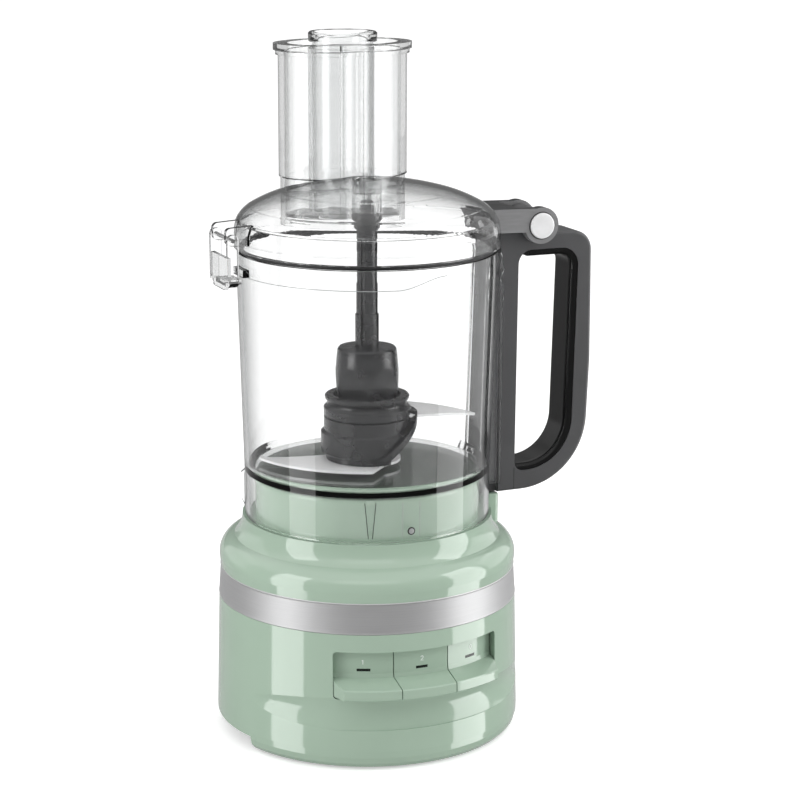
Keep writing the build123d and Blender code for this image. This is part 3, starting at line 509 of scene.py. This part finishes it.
# ------------------------------------------------------------------ stage, lights, camera
def view_axes(tree, vector):
    """Right, forward and up parts of a direction, turned by a fixed angle towards the front view."""
    turn = tree.nodes.new("ShaderNodeMapping")
    turn.inputs["Rotation"].default_value = (0.0, 0.0, -CAMERA_AZ)
    tree.links.new(vector, turn.inputs["Vector"])
    split = tree.nodes.new("ShaderNodeSeparateXYZ")
    tree.links.new(turn.outputs["Vector"], split.inputs["Vector"])
    return split.outputs


def ramp(tree, value, start, end, low=0.0, high=1.0):
    """Straight ramp between two values, clamped."""
    node = tree.nodes.new("ShaderNodeMapRange")
    for name, number in (("From Min", start), ("From Max", end), ("To Min", low), ("To Max", high)):
        node.inputs[name].default_value = number
    tree.links.new(value, node.inputs["Value"])
    return node.outputs["Result"]


def math_node(tree, operation, first, second):
    """Math node; either input may be a socket or a number."""
    node = tree.nodes.new("ShaderNodeMath")
    node.operation = operation
    for slot, value in enumerate((first, second)):
        if isinstance(value, (int, float)):
            node.inputs[slot].default_value = value
        else:
            tree.links.new(value, node.inputs[slot])
    return node.outputs["Value"]


def seen_directly(tree):
    """1 for what the viewer sees straight or through clear parts, 0 for what lights and reflects."""
    path = tree.nodes.new("ShaderNodeLightPath").outputs
    bounces = math_node(tree, "ADD", path["Glossy Depth"], path["Diffuse Depth"])
    seen = math_node(tree, "MAXIMUM", path["Is Camera Ray"], path["Is Transmission Ray"])
    return math_node(tree, "MULTIPLY", seen, math_node(tree, "LESS_THAN", bounces, 0.5))


def make_world():
    """Plain white backdrop; the object is lit by a tent, white above and grey in front and at the sides."""
    world = bpy.data.worlds.new("studio")
    bpy.context.scene.world = world
    world.use_nodes = True
    tree = world.node_tree
    heading = view_axes(tree, tree.nodes.new("ShaderNodeTexCoord").outputs["Generated"])
    above = ramp(tree, heading["Z"], *TOP_FIELD)
    walls = ramp(tree, heading["Y"], -1.0, 0.0, FRONT_GREY, SIDE_GREY)
    below = ramp(tree, heading["Z"], -0.02, 0.0, 1.0, 0.0)
    behind = math_node(tree, "MULTIPLY", ramp(tree, heading["Y"], *LOW_FIELD, 0.0, LOW_GREY), below)
    tent = math_node(tree, "MAXIMUM", math_node(tree, "MAXIMUM", above, walls), behind)
    level = math_node(tree, "MAXIMUM", tent, seen_directly(tree))
    tree.links.new(level, tree.nodes["Background"].inputs["Strength"])
    tree.nodes["Background"].inputs["Color"].default_value = (1.0, 1.0, 1.0, 1.0)


def softbox(name, az_deg, dist, z, width, height, watts, through=True):
    """Rectangular area light facing the object; through says whether clear parts show it."""
    light = bpy.data.lights.new(name, "AREA")
    light.shape = "RECTANGLE"
    light.size = width
    light.size_y = height
    light.energy = watts
    obj = collect(bpy.data.objects.new(name, light))
    angle = CAMERA_AZ + math.radians(az_deg)
    place = Vector((math.sin(angle) * dist, -math.cos(angle) * dist, z))
    obj.location = place
    obj.rotation_euler = (Vector((0, 0, z)) - place).to_track_quat("-Z", "Y").to_euler()
    obj.visible_camera = False
    obj.visible_transmission = through


def make_stage():
    """Plain white floor; the light it throws back on the object is a little greyer."""
    n = Nodes("studio_floor")
    level = ramp(n.tree, seen_directly(n.tree), 0.0, 1.0, FLOOR_GREY, 1.0)
    grain = n.remap(n.noise(n.scaled(1, 1, 1), 3.0), 0.97, 1.0)
    tone = math_node(n.tree, "MULTIPLY", level, grain)
    grey = n.add("ShaderNodeCombineColor")
    for channel in ("Red", "Green", "Blue"):
        n.link(math_node(n.tree, "MULTIPLY", tone, FLOOR_WHITE), grey.inputs[channel])
    n.colour(grey.outputs["Color"])
    n.link(math_node(n.tree, "MULTIPLY", tone, FLOOR_GLOW), n.shader.inputs["Emission Strength"])
    n.set(Roughness=0.9, Emission_Color=(1.0, 1.0, 1.0, 1.0))
    floor = new_mesh("floor", [(-FLOOR_SIZE, -FLOOR_SIZE, 0), (FLOOR_SIZE, -FLOOR_SIZE, 0),
                               (FLOOR_SIZE, FLOOR_SIZE, 0), (-FLOOR_SIZE, FLOOR_SIZE, 0)],
                     [(0, 1, 2, 3)], n.material, smooth=False)
    floor.visible_glossy = False


def make_camera():
    """Camera at the product's three-quarter view."""
    data = bpy.data.cameras.new("camera")
    data.lens = LENS_MM
    data.sensor_width = SENSOR_MM
    data.shift_x = SHIFT_X
    camera = collect(bpy.data.objects.new("camera", data))
    target = Vector((0, 0, LOOK_AT_Z))
    flat = math.cos(CAMERA_PITCH) * CAMERA_DIST
    camera.location = target + Vector((math.sin(CAMERA_AZ) * flat, -math.cos(CAMERA_AZ) * flat,
                                       math.sin(CAMERA_PITCH) * CAMERA_DIST))
    camera.rotation_euler = (target - camera.location).to_track_quat("-Z", "Y").to_euler()
    bpy.context.scene.camera = camera


bpy.context.scene.view_settings.view_transform = "Standard"
bpy.context.scene.cycles.max_bounces = LIGHT_BOUNCES
bpy.context.scene.cycles.transmission_bounces = LIGHT_BOUNCES
dress_cad_nodes()
make_world()
make_stage()
make_camera()
softbox("left_strip", -61.5, 1.5, 0.35, 0.74, 2.2, 17.5)
softbox("right_strip", 83.0, 1.5, 0.35, 0.88, 2.2, 21.0)
softbox("left_wing", -125.0, 2.2, 0.9, 1.6, 1.6, 4.0, through=False)
softbox("right_wing", 125.0, 2.2, 0.9, 1.6, 1.6, 7.0, through=False)
softbox("top_fill", 0.0, 1.6, 1.6, 1.6, 1.0, 3.0)
for button in NUMERAL_Z:
    make_numeral(button)
make_alignment_dot()
make_skirt_lines()
make_cap_gap_shadow()
make_post_seam()
make_fill_line()
make_collar_line()
